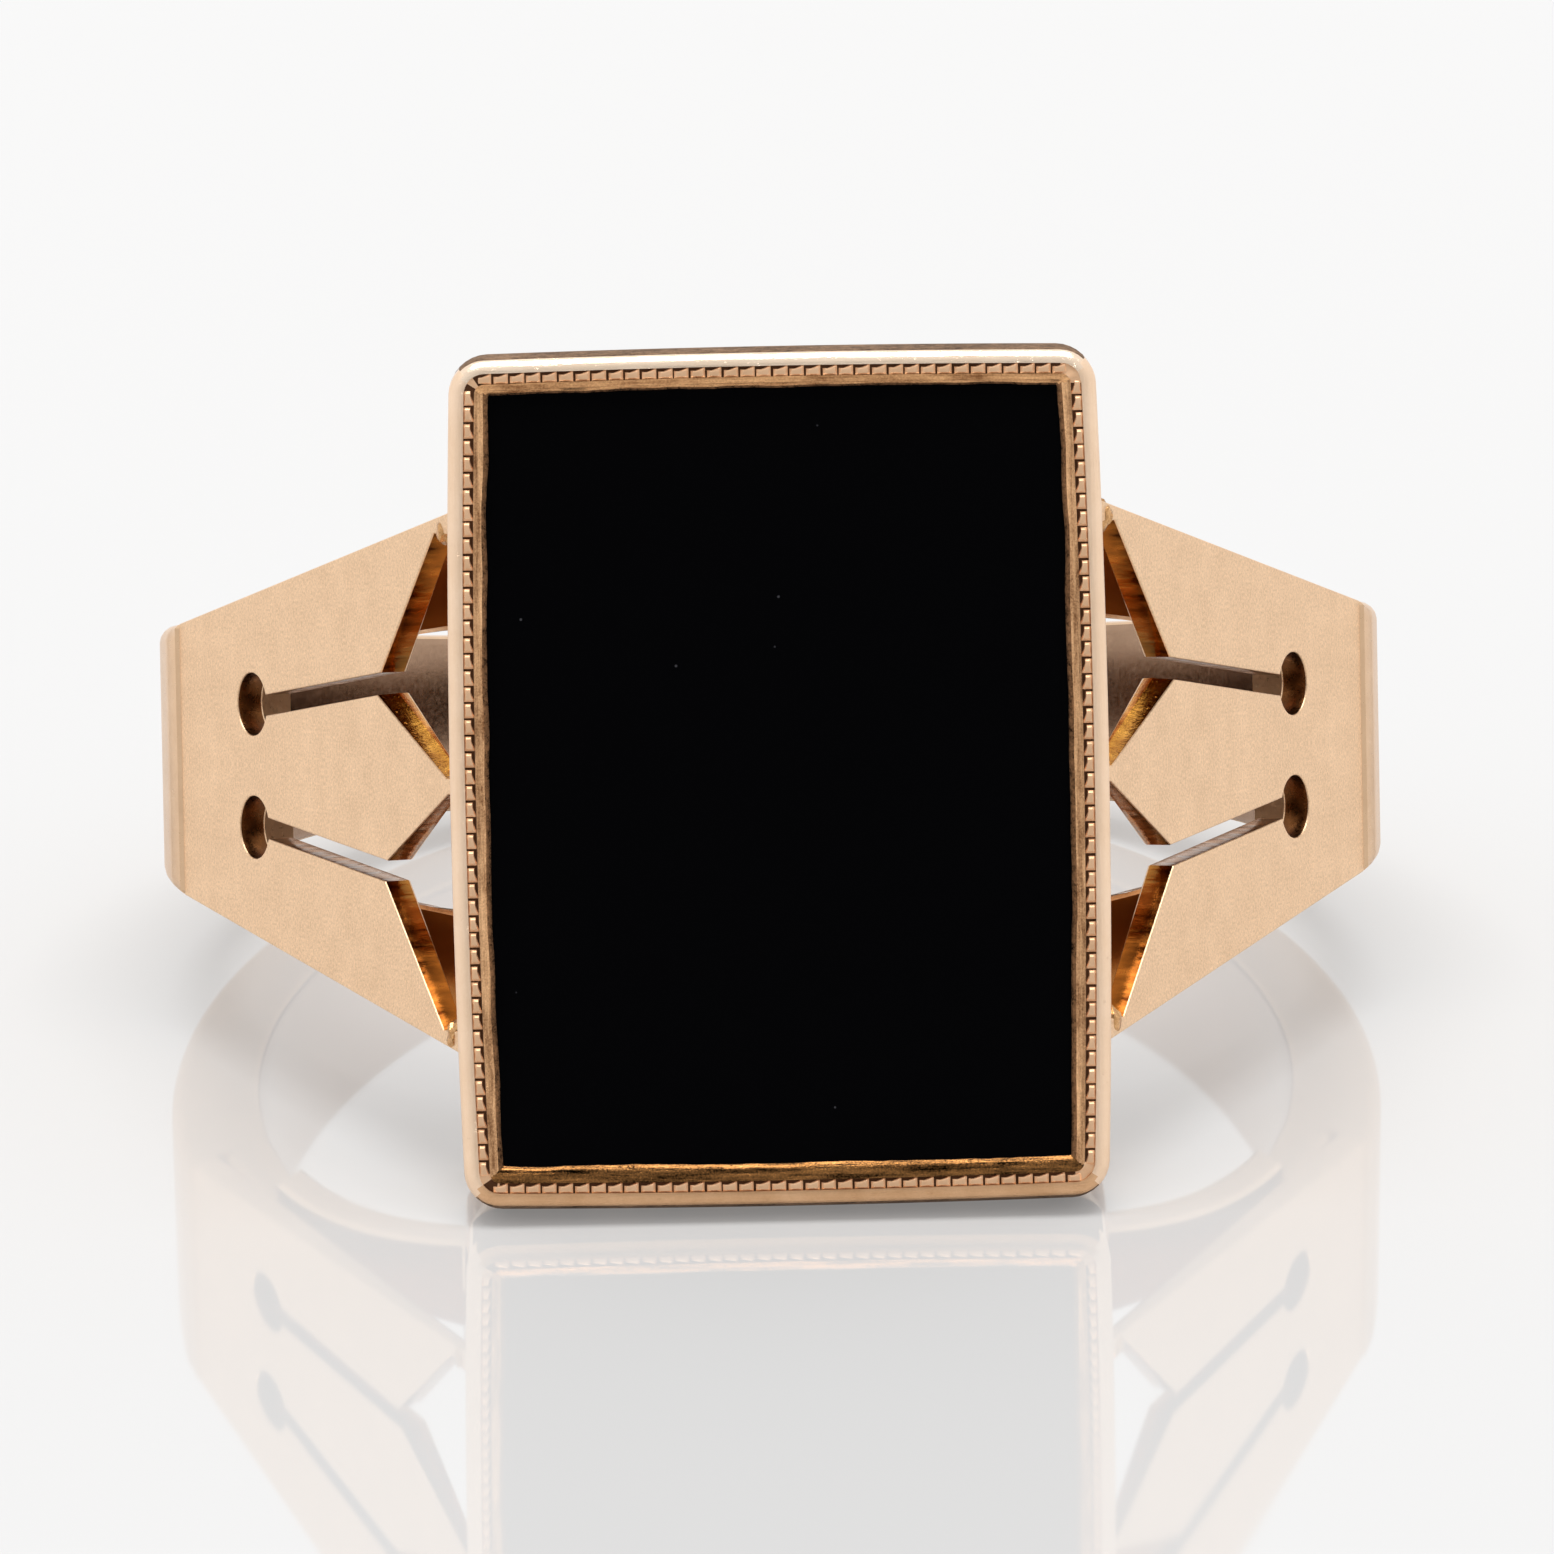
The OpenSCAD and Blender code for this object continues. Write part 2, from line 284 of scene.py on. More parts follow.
def weighted(tree, first, second, weight):
    """first plus weight times second, where first is a socket or a number."""
    node = tree.nodes.new("ShaderNodeMath")
    node.operation = "MULTIPLY_ADD"
    tree.links.new(second, node.inputs[0])
    node.inputs[1].default_value = weight
    if isinstance(first, float):
        node.inputs[2].default_value = first
    else:
        tree.links.new(first, node.inputs[2])
    return node.outputs["Value"]


def gold(name, tones, rough, grain, stretch=(1, 1, 1), size=12.0, pits=0.0, streaks=0.0,
         plates=False, dull=False):
    """Rose gold between two tones.

    rough is the range of roughness. grain is the depth of the fine marks, stretch draws them out and
    size is how many there are. pits is the depth of small dents, and streaks is how much the marks
    tint the metal as well as roughen it. plates is for marks in the plates' axes, and dull is for
    metal made rough and dark and barely metallic, for walls in painted shade.
    """
    made, tree, shader = new_material(name)
    shader.inputs["Metallic"].default_value = 0.2 if dull else 1.0
    if dull:
        shader.inputs["Specular IOR Level"].default_value = 0.15
    place = ring_coordinates(tree, on_plates=plates)
    clouds = noise_at(tree, place, scale=1.2, detail=6, rough=0.7)
    marks = noise_at(tree, ring_coordinates(tree, stretch, plates), scale=size, detail=4, rough=0.65)
    fine = noise_at(tree, place, scale=30.0, detail=2, rough=0.6)
    tint = weighted(tree, weighted(tree, 0.0, clouds, 0.5), weighted(tree, marks, fine, 0.5), streaks)
    middle = 0.25 + 0.75 * streaks
    reach = 0.16 + 0.06 * streaks
    tint = remap(tree, tint, middle - reach, middle + reach, 0, 1)
    tree.links.new(two_tone(tree, tint, *tones), shader.inputs["Base Color"])
    low, high = rough
    tree.links.new(remap(tree, marks, 0.3, 0.7, low, high), shader.inputs["Roughness"])
    normal = bump(tree, marks, grain, strength=0.6)
    normal = bump(tree, fine, grain * 0.5, strength=0.5, under=normal)
    if pits:
        dents = noise_at(tree, place, scale=8.0, detail=5, rough=0.7)
        normal = bump(tree, remap(tree, dents, 0.3, 0.36, 0, 1), pits, strength=0.6, under=normal)
    tree.links.new(normal, shader.inputs["Normal"])
    return made


def cut_gold():
    """Walls left by the saw, marked across: dark by the face, warm and bright further in, as painted shade
    and painted reflections.
    """
    made, tree, shader = new_material("cut_gold")
    shader.inputs["Metallic"].default_value = 1.0
    across = ring_coordinates(tree, (6, 1.6, 6), on_plates=True)
    saw = noise_at(tree, across, scale=0.9, detail=3, rough=0.5)
    parts = tree.nodes.new("ShaderNodeSeparateXYZ")
    tree.links.new(ring_coordinates(tree, on_plates=True), parts.inputs["Vector"])
    inside = remap(tree, parts.outputs["Y"], -0.06, -0.45, 0, 1)
    tint = weighted(tree, saw, inside, 0.35)
    tree.links.new(two_tone(tree, tint, *CUT_GOLD, low=0.34), shader.inputs["Base Color"])
    tree.links.new(remap(tree, saw, 0.3, 0.7, 0.1, 0.28), shader.inputs["Roughness"])
    tree.links.new(bump(tree, saw, 0.02, strength=0.7), shader.inputs["Normal"])
    return made


def onyx():
    """Black stone with a mirror polish, a few specks of dust and hairline marks."""
    made, tree, shader = new_material("onyx")
    place = ring_coordinates(tree)
    specks = add(tree, "ShaderNodeTexVoronoi", Scale=1.1, Randomness=1.0)
    tree.links.new(place, specks.inputs["Vector"])
    dust = remap(tree, specks.outputs["Distance"], 0.018, 0.03, 1, 0)
    black, grey = (0.0016, 0.0016, 0.002), (0.05, 0.05, 0.055)
    tree.links.new(two_tone(tree, dust, black, grey), shader.inputs["Base Color"])
    haze = noise_at(tree, place, scale=0.7, detail=4)
    tree.links.new(remap(tree, haze, 0.3, 0.7, 0.03, 0.06), shader.inputs["Roughness"])
    shader.inputs["IOR"].default_value = 1.54
    hairlines = noise_at(tree, ring_coordinates(tree, (14, 14, 0.4)), scale=1.0, detail=2)
    tree.links.new(bump(tree, hairlines, 0.0004, strength=0.3), shader.inputs["Normal"])
    return made


def floor_gloss():
    """White acrylic sheet with a weak light of its own."""
    made, tree, shader = new_material("white_acrylic")
    where = tree.nodes.new("ShaderNodeTexCoord")
    clouds = add(tree, "ShaderNodeTexNoise", Scale=90.0, Detail=3)
    tree.links.new(where.outputs["Object"], clouds.inputs["Vector"])
    haze = remap(tree, clouds.outputs["Fac"], 0.3, 0.7, 0.03, 0.06)
    tree.links.new(haze, shader.inputs["Roughness"])
    shader.inputs["Base Color"].default_value = (0.43, 0.43, 0.43, 1)
    shader.inputs["Emission Color"].default_value = (1, 0.985, 0.975, 1)
    shader.inputs["Emission Strength"].default_value = 0.2
    shader.inputs["IOR"].default_value = 1.6
    return made


# dark and light tone of each gold
BRIGHT_GOLD = ((0.86, 0.58, 0.37), (0.92, 0.645, 0.42))
RIM_GOLD = ((0.86, 0.61, 0.41), (0.98, 0.75, 0.56))
# the top rim's tones are lighter than the long sides': a painted highlight. The bottom rim's are darker and
# warmer: painted shade.
TOP_RIM_HIGHLIGHT_GOLD = ((0.9, 0.68, 0.49), (1.0, 0.82, 0.65))
LOW_RIM_SHADE_GOLD = ((0.58, 0.325, 0.16), (0.84, 0.53, 0.31))
BEAD_GOLD = ((0.8, 0.5, 0.29), (0.96, 0.66, 0.43))
BEVEL_GOLD = ((0.18, 0.07, 0.025), (0.95, 0.56, 0.29))
# the top bevel's dark tone is a little lighter than the long sides': a painted reflection. The bottom bevel's
# tones start from black: painted shade.
TOP_BEVEL_GOLD = ((0.22, 0.085, 0.03), (0.98, 0.55, 0.26))
LOW_BEVEL_SHADE_GOLD = ((0.0, 0.0, 0.0), (0.34, 0.155, 0.05))
# the lip's edge darkens where it meets the stone: painted shade
EDGE_SHADE_GOLD = ((0.01, 0.004, 0.002), (0.34, 0.17, 0.08))
SATIN_GOLD = ((0.72, 0.485, 0.295), (0.98, 0.69, 0.447))
# the box's top and bottom walls: their roughness and pits are their own, their darkness is painted shade
WALL_SHADE_GOLD = ((0.03, 0.016, 0.009), (0.31, 0.19, 0.115))
# cut walls from near black to warm orange: painted shade and painted reflections over the saw marks
CUT_GOLD = ((0.045, 0.013, 0.003), (0.52, 0.22, 0.045))
# glint gold: a brighter copy of the cut gold, a painted highlight
GLINT_GOLD = ((0.34, 0.1, 0.01), (1.0, 0.5, 0.09))
HOOP_GOLD = ((0.68, 0.45, 0.275), (0.84, 0.58, 0.37))
# hole walls, near black: painted shade inside the holes
HOLE_SHADE_GOLD = ((0.03, 0.01, 0.004), (0.26, 0.1, 0.03))
# dark gold of the arms between plates and bezel: painted shade
ARM_SHADE_GOLD = ((0.25, 0.09, 0.022), (0.43, 0.17, 0.045))
# darker gold of the hoop's inside: painted shade
INSIDE_SHADE_GOLD = ((0.34, 0.215, 0.14), (0.46, 0.3, 0.2))
SOLDER_GOLD = ((0.22, 0.1, 0.03), (0.9, 0.52, 0.24))
# dark tones of the groove under the beads and the corner scratches: painted shade
GROOVE_SHADE_TONES = ((0.05, 0.022, 0.01), (0.14, 0.06, 0.03))
# marks drawn out along the finger, and across it
UP = (1.6, 1.6, 0.12)
SIDEWAYS = (0.12, 1.6, 1.6)
POLISHED = gold("polished_gold", BRIGHT_GOLD, (0.08, 0.14), grain=0.0006, pits=0.0006)
RIM_UP = gold("rim_brushed_up", RIM_GOLD, (0.32, 0.46), grain=0.012, stretch=UP, size=9.0,
              pits=0.01, streaks=0.3)
# the rim's top copy is lighter, a painted highlight; its bottom copy is darker, painted shade
RIM_TOP_HIGHLIGHT = gold("rim_brushed_top_highlight", TOP_RIM_HIGHLIGHT_GOLD, (0.14, 0.26), grain=0.008, stretch=SIDEWAYS, size=9.0,
               pits=0.008)
RIM_LOW_SHADE = gold("rim_brushed_low_shade", LOW_RIM_SHADE_GOLD, (0.26, 0.42), grain=0.01, stretch=SIDEWAYS, size=9.0,
               pits=0.01, streaks=0.3)
BEAD = gold("bead_gold", BEAD_GOLD, (0.5, 0.62), grain=0.006)
BEVEL_UP = gold("bevel_burnished_up", BEVEL_GOLD, (0.16, 0.34), grain=0.014, stretch=UP, size=7.0,
                pits=0.01, streaks=0.8)
BEVEL_TOP = gold("bevel_burnished_top", TOP_BEVEL_GOLD, (0.16, 0.34), grain=0.014, stretch=SIDEWAYS,
                 size=7.0, pits=0.01, streaks=0.8)
# the bottom bevel gold, near black: painted shade
BEVEL_LOW_SHADE = gold("bevel_burnished_low_shade", LOW_BEVEL_SHADE_GOLD, (0.1, 0.26), grain=0.02, stretch=SIDEWAYS,
                 size=6.0, pits=0.012, streaks=1.2)
SATIN = gold("satin_gold", SATIN_GOLD, (0.34, 0.46), grain=0.012, stretch=(1.2, 1, 1), size=17.0,
             pits=0.004, streaks=1.3, plates=True)
CUT = cut_gold()
GLINT = gold("glint_gold", GLINT_GOLD, (0.08, 0.2), grain=0.016, stretch=(5, 1, 5), size=1.2,
             pits=0.01, streaks=0.6, plates=True)
# dark gold of the holes' walls: painted shade
HOLE = gold("drilled_hole_shade", HOLE_SHADE_GOLD, (0.2, 0.4), grain=0.01, plates=True)
SOLDER = gold("solder_gold", SOLDER_GOLD, (0.16, 0.34), grain=0.02, size=6.0, pits=0.03, streaks=0.6)
# dark strip gold on the arms: painted shade
ARM = gold("strip_shade_gold", ARM_SHADE_GOLD, (0.16, 0.26), grain=0.002)
# inner band gold, darker than the hoop: painted shade
INSIDE = gold("inner_band_shade_gold", INSIDE_SHADE_GOLD, (0.14, 0.26), grain=0.001)
HOOP = gold("hoop_gold", HOOP_GOLD, (0.26, 0.4), grain=0.006, size=14.0, pits=0.003)
# dark, dull wall gold on the top and bottom walls and shoulder turns: painted shade
WALL = gold("box_wall_shade_gold", WALL_SHADE_GOLD, (0.7, 0.9), grain=0.012, stretch=(0.6, 1.6, 1.6), size=9.0,
            pits=0.02, streaks=0.9, dull=True)
# dark gold at the lip's edge by the stone: painted shade
EDGE = gold("stone_edge_shade_gold", EDGE_SHADE_GOLD, (0.2, 0.4), grain=0.012, size=9.0, pits=0.01, streaks=0.8)
# groove floor gold, seen between the beads and in the corner scratches: painted shade
SHADE = gold("groove_shade", GROOVE_SHADE_TONES, (0.4, 0.6), grain=0.01)
ONYX = onyx()

BEZEL_MATERIALS = [RIM_UP, RIM_TOP_HIGHLIGHT, RIM_LOW_SHADE, WALL, SHADE, BEVEL_UP, BEVEL_TOP, BEVEL_LOW_SHADE, POLISHED,
                   EDGE, BEAD]
PLATE_MATERIALS = [SATIN, CUT, HOLE, SOLDER, GLINT]
HOOP_MATERIALS = [HOOP, INSIDE]
ARM_MATERIALS = [POLISHED, ARM]
# material of each part of the bezel on its long sides, its top and its bottom
BEZEL_LOOKS = {
    "back": (POLISHED, POLISHED, POLISHED),
    # on top and bottom the wall and the shoulder's turn take the dark wall gold: painted shade
    "wall": (POLISHED, WALL, WALL),
    "turn": (RIM_UP, WALL, WALL),
    # on top the rim and groove take the lighter rim gold, a painted highlight; on the bottom the darker one,
    # painted shade
    "rim": (RIM_UP, RIM_TOP_HIGHLIGHT, RIM_LOW_SHADE),
    "groove": (RIM_UP, RIM_TOP_HIGHLIGHT, RIM_LOW_SHADE),
    # on the bottom the ledge, bevel, brink and edge take the near-black bevel gold, painted shade; the top's
    # bevel gold is a little lighter, a painted reflection
    "ledge": (BEVEL_UP, BEVEL_TOP, BEVEL_LOW_SHADE),
    "bevel": (BEVEL_UP, BEVEL_TOP, BEVEL_LOW_SHADE),
    # the brink on the long sides, and the edge on the long sides and top, take the dark edge gold: painted
    # shade by the stone
    "brink": (EDGE, BEVEL_TOP, BEVEL_LOW_SHADE),
    "edge": (EDGE, EDGE, BEVEL_LOW_SHADE),
    "inside": (POLISHED, POLISHED, POLISHED),
}


# ---------------------------------------------------------------- mesh tools

def piece(name, mesh_maker, materials, slot, *nodes):
    """Builds an object from a bmesh in ring axes, and ties it to the frame."""
    work = bmesh.new()
    mesh_maker(work)
    bmesh.ops.remove_doubles(work, verts=work.verts, dist=MERGE)
    bmesh.ops.recalc_face_normals(work, faces=work.faces)
    bmesh.ops.transform(work, matrix=RING, verts=work.verts)
    mesh = bpy.data.meshes.new(name)
    work.to_mesh(mesh)
    work.free()
    for material in materials:
        mesh.materials.append(material)
    obj = bpy.data.objects.new(name, mesh)
    bpy.context.scene.collection.objects.link(obj)
    smooth_by_angle(obj)
    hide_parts(*nodes)
    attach(obj, "root")


def smooth_by_angle(obj):
    """Smooth shading, with sharp edges where faces turn by more than SMOOTH_BELOW."""
    obj.data.shade_smooth()
    work = bmesh.new()
    work.from_mesh(obj.data)
    for edge in work.edges:
        edge.smooth = edge.calc_face_angle(0) < SMOOTH_BELOW
    work.to_mesh(obj.data)
    work.free()


def skin(work, loops, closed, material_of=lambda i, middle: 0):
    """Quads between loops of points. closed joins the last loop to the first."""
    rows = [[work.verts.new(p) for p in loop] for loop in loops]
    count = len(rows)
    for i in range(count if closed else count - 1):
        low, high = rows[i], rows[(i + 1) % count]
        for j in range(len(low)):
            k = (j + 1) % len(low)
            face = work.faces.new((low[j], low[k], high[k], high[j]))
            face.material_index = material_of(i, face.calc_center_median())
    return rows


def face_noise(p, scale, plane):
    """Noise over the ring's face, the same each time, from one plane of it."""
    return noise.noise(Vector((p.x * scale, plane, p.z * scale)))


def cap(work, row, flat):
    """Closes a row of vertices with the triangles of its flat outline."""
    for corners in tessellate_polygon([[Vector((p[0], p[1], 0)) for p in flat]]):
        work.faces.new([row[i] for i in corners])


# ---------------------------------------------------------------- bezel

def bulge(x, z):
    """How far the walls have moved in at a point of the outline: least at mid-side."""
    return LONG_BULGE * (z / HALF_H) ** 2, SHORT_BULGE * (x / HALF_W) ** 2


def frame_loop(inset_x, inset_z, y, ripple):
    """A rounded rectangle round the stone, inset from the bezel's outline."""
    radius = max(CORNER_R - min(inset_x, inset_z), LEAST_CORNER_R)
    half_x = HALF_W - inset_x
    half_z = HALF_H - inset_z

    def corner_point(n, degrees):
        sx, sz = CORNERS[n % 4]
        a = math.radians(degrees)
        middle = Vector((sx * (half_x - radius), 0, sz * (half_z - radius)))
        return middle + Vector((math.cos(a), 0, math.sin(a))) * radius

    points = []
    for n in range(4):
        for i in range(CORNER_STEPS + 1):
            points.append(corner_point(n, 90 * n + 90 * i / CORNER_STEPS))
        start = points[-1]
        end = corner_point(n + 1, 90 * (n + 1))
        for i in range(1, SIDE_STEPS):
            points.append(start.lerp(end, i / SIDE_STEPS))
    loop = []
    for p in points:
        move_x, move_z = bulge(p.x, p.z)
        wave = ripple * face_noise(p, scale=0.9, plane=3.7)
        wave += 0.3 * ripple * face_noise(p, scale=5, plane=1.3)
        x = p.x - math.copysign(move_x + wave, p.x) * min(1, abs(p.x) / half_x)
        z = p.z - math.copysign(move_z + wave, p.z) * min(1, abs(p.z) / half_z)
        loop.append(Vector((x, y, z)))
    return loop


def groove_depth(p):
    """The groove of the beaded line: full along the sides, a broken scratch at the corners."""
    reach = max(HALF_W - abs(p.x), HALF_H - abs(p.z))
    full = min(1, max(0, (reach - GROOVE_FROM) / GROOVE_FADE))
    scratch = 0.38 + 1.1 * face_noise(p, scale=6, plane=0.4)
    return max(full, min(max(scratch, 0), 0.8))


def bezel_profile():
    """Rows from the back round the front: inset of long and short walls, depth, ripple, part."""
    bow = -SHORT_WALL_BOW
    rows = [
        (WALL_T, SLOPE_IN + WALL_T, BOX_BACK_Y, 0, "back"),
        (BACK_EDGE, SLOPE_IN + BACK_EDGE, BOX_BACK_Y, 0, "back"),
        (0.0, SLOPE_IN, BOX_BACK_Y - BACK_EDGE, 0, "back"),
        (0.0, 0.02, SLOPE_Y + 0.05, 0, "back"),
        (0.0, bow * 0.6, SLOPE_Y - 0.05, 0, "wall"),
        (0.0, bow, RIM_Y + 0.8, 0, "wall"),
        (0.0, bow * 0.7, RIM_Y + 0.5, 0, "wall"),
    ]
    for i in range(SHOULDER_STEPS + 1):
        a = SHOULDER_TURN * i / SHOULDER_STEPS
        inset = SHOULDER_R * (1 - math.cos(a)) / (1 - math.cos(SHOULDER_TURN))
        # the shoulder's first rows are its turn, which on top and bottom takes the dark wall gold: painted
        # shade
        part = "turn" if i < TURN_STEPS else "rim"
        rows.append((inset, inset, FACE_Y + SHOULDER_R * (1 - math.sin(a)), 0, part))
    near, far = BEAD_IN - BEAD_W / 2, BEAD_IN + BEAD_W / 2
    outer, inner = near - GROOVE_SIDE, far + GROOVE_SIDE
    rows += [
        (outer, outer, FACE_Y, 0, "groove"),
        (near, near, FACE_Y, 0, "floor"),
        (far, far, FACE_Y, 0, "groove"),
        (inner, inner, FACE_Y, 0.004, "ledge"),
    ]
    rows += [(inset, inset, RIM_Y + depth, ripple, part) for inset, depth, ripple, part in LIP]
    rows += [
        (LIP_W, LIP_W, STONE_Y + 0.01, LIP_RIPPLE, "inside"),
        (WALL_T, WALL_T, STONE_Y + 0.02, 0, "back"),
        (WALL_T, WALL_T, SLOPE_Y, 0, "back"),
    ]
    return rows


def bezel_material(part, middle):
    """Material of a face by the part of the profile that it belongs to and the side it is on."""
    # where the groove is deep its floor is painted shade; elsewhere it is bead gold
    if part == "floor":
        return SHADE if groove_depth(middle) > 0.5 else BEAD
    on_long, on_top, on_bottom = BEZEL_LOOKS[part]
    if HALF_W - abs(middle.x) < HALF_H - abs(middle.z):
        return on_long
    return on_top if middle.z > 0 else on_bottom


def build_bezel(work):
    """The box, its rim and its lip. The lip's opening stands a little towards the top."""
    rows = bezel_profile()
    parts = [row[-1] for row in rows]
    loops = []
    for n, (inset_x, inset_z, y, ripple, part) in enumerate(rows):
        loop = frame_loop(inset_x, inset_z, y, ripple)
        if "floor" in (part, parts[n - 1]):
            for p in loop:
                p.y += GROOVE_DEEP * groove_depth(p)
        if part in ("brink", "edge", "inside"):
            for p in loop:
                p.z += OPENING_UP
        loops.append(loop)

    def material_of(i, middle):
        return BEZEL_MATERIALS.index(bezel_material(parts[i], middle))

    skin(work, loops, True, material_of)


# ---------------------------------------------------------------- beads

def bead(work, middle, along, out, height, open_side):
    """One pillow of the beaded line.

    Its open side stands back, except near one end, and leaves a dash of the groove's painted shade.
    """
    rows = []
    for i in range(BEAD_POINTS):
        u = -1 + 2 * i / (BEAD_POINTS - 1)
        row = []
        for j in range(BEAD_POINTS):
            v = -1 + 2 * j / (BEAD_POINTS - 1)
            dome = max((1 - u ** 4) * (1 - v ** 4), 0) ** 0.5
            back = min(max(DASH_END - u, 0), 1) * max(v * open_side, 0) * DASH
            flat = along * (u * BEAD_L / 2) + out * (v * BEAD_W / 2 - open_side * back)
            row.append(work.verts.new(middle + flat + Vector((0, -height * dome, 0))))
        rows.append(row)
    for low, high in zip(rows, rows[1:]):
        for j in range(BEAD_POINTS - 1):
            work.faces.new((low[j], low[j + 1], high[j + 1], high[j]))
    rim = rows[0] + [r[-1] for r in rows[1:]] + rows[-1][-2::-1] + [r[0] for r in rows[-2:0:-1]]
    base = [work.verts.new(v.co + Vector((0, BEAD_ROOT, 0))) for v in rim]
    for i in range(len(rim)):
        k = (i + 1) % len(rim)
        work.faces.new((rim[i], rim[k], base[k], base[i]))
    work.faces.new(base)


def build_beads(work):
    """Beads along the four sides. The dark dashes, painted shade, lie inside the line, but outside along the
    top.
    """
    random.seed(7)
    reach_x = HALF_W - BEAD_END
    reach_z = HALF_H - BEAD_END
    sides = (
        (reach_x, Vector((1, 0, 0)), Vector((0, 0, 1)), HALF_H - BEAD_IN, 1),
        (reach_x, Vector((1, 0, 0)), Vector((0, 0, -1)), HALF_H - BEAD_IN, -1),
        (reach_z, Vector((0, 0, -1)), Vector((1, 0, 0)), HALF_W - BEAD_IN, -1),
        (reach_z, Vector((0, 0, -1)), Vector((-1, 0, 0)), HALF_W - BEAD_IN, -1),
    )
    for reach, along, out, distance, open_side in sides:
        count = int(2 * reach / BEAD_PITCH)
        for i in range(count + 1):
            run = (i - count / 2) * BEAD_PITCH + random.uniform(-BEAD_SHIFT, BEAD_SHIFT)
            middle = along * run + out * distance
            move_x, move_z = bulge(middle.x, middle.z)
            middle -= out * (move_z if out.z else move_x)
            middle.y = BEAD_FOOT_Y
            height = BEAD_H + random.uniform(-BEAD_H_VARIES, BEAD_H_VARIES)
            bead(work, middle, along, out, height, open_side)


# ---------------------------------------------------------------- stone

def tablet_loop(inset, y):
    """The stone's outline at depth y, inset from its sides."""
    half_x = STONE_HIGH.x - inset - STONE_CORNER_R
    half_z = STONE_HIGH.z - inset - STONE_CORNER_R
    points = []
    for n, (sx, sz) in enumerate(CORNERS):
        for i in range(4):
            a = math.radians(90 * n + 30 * i)
            x = sx * half_x + STONE_CORNER_R * math.cos(a)
            z = sz * half_z + STONE_CORNER_R * math.sin(a)
            points.append(Vector((x, y, z)))
    return points


def build_stone(work):
    """A flat tablet with a narrow bevel at its front and back."""
    loops = [
        tablet_loop(STONE_EDGE, STONE_HIGH.y),
        tablet_loop(0, STONE_HIGH.y - STONE_EDGE),
        tablet_loop(0, STONE_LOW.y + STONE_EDGE),
        tablet_loop(STONE_EDGE, STONE_LOW.y),
    ]
    rows = skin(work, loops, False)
    for i in (0, -1):
        cap(work, rows[i], [(p.x, p.z) for p in loops[i]])


# ---------------------------------------------------------------- plates

def half_outline(filed=0.0):
    """The upper half of a plate, from the hoop end round the wing to the tongue.

    filed is how far the top of the tongue is cut back.
    """
    points = [
        Vector((PLATE_L, PLATE_HOOP_H)),
        Vector((PLATE_START, PLATE_BEZEL_H - PLATE_SLOPE * PLATE_START)),
        Vector((PLATE_START, WING_FOOT.y)),
        WING_FOOT,
        NOTCH_END,
    ]
    reach = math.asin(HALF_SAW / HOLE_R)
    for i in range(HOLE_STEPS + 1):
        a = math.pi - reach - (2 * math.pi - 2 * reach) * i / HOLE_STEPS
        points.append(HOLE_AT + Vector((math.cos(a), math.sin(a))) * HOLE_R)
    points.append(TONGUE_CORNER + FILED_CORNER * filed)
    points.append(TONGUE_TIP + FILED_TIP * filed)
    points.append(Vector((PLATE_START, TONGUE_TIP.y + FILED_TIP.y * filed)))
    return points


def inset_outline(points, amount):
    """The same outline moved inwards, with mitred corners."""
    out = []
    count = len(points)
    for i in range(count):
        before = (points[i] - points[i - 1]).normalized()
        after = (points[(i + 1) % count] - points[i]).normalized()
        normal = Vector((-before.y, before.x)) + Vector((-after.y, after.x))
        normal.normalize()
        lean = max(LEAST_LEAN, normal.dot(Vector((-after.y, after.x))))
        out.append(points[i] + normal * (amount / lean))
    return out


def plate_wall(middle):
    """Material of a wall of the plate: outer edge, drilled hole, top of the tongue or other cut."""
    spot = Vector((along_plate(Vector((abs(middle.x), middle.y, 0))), abs(middle.z)))
    if spot.y > PLATE_BEZEL_H - PLATE_SLOPE * spot.x - NEAR or spot.x > PLATE_L - NEAR:
        return SATIN
    # the hole's wall takes the dark hole gold: painted shade
    if abs((spot - HOLE_AT).length - HOLE_R) < NEAR:
        return HOLE
    rise = TONGUE_CORNER - TONGUE_TIP
    tongue_top = TONGUE_TIP.y + (spot.x - TONGUE_TIP.x) * rise.y / rise.x
    on_tongue = spot.x < TONGUE_CORNER.x and spot.y < tongue_top + NEAR
    # the top of the upper tongue takes the glint gold, a painted highlight; the lower tongue keeps the cut
    # gold
    return GLINT if middle.z > 0 and on_tongue else CUT


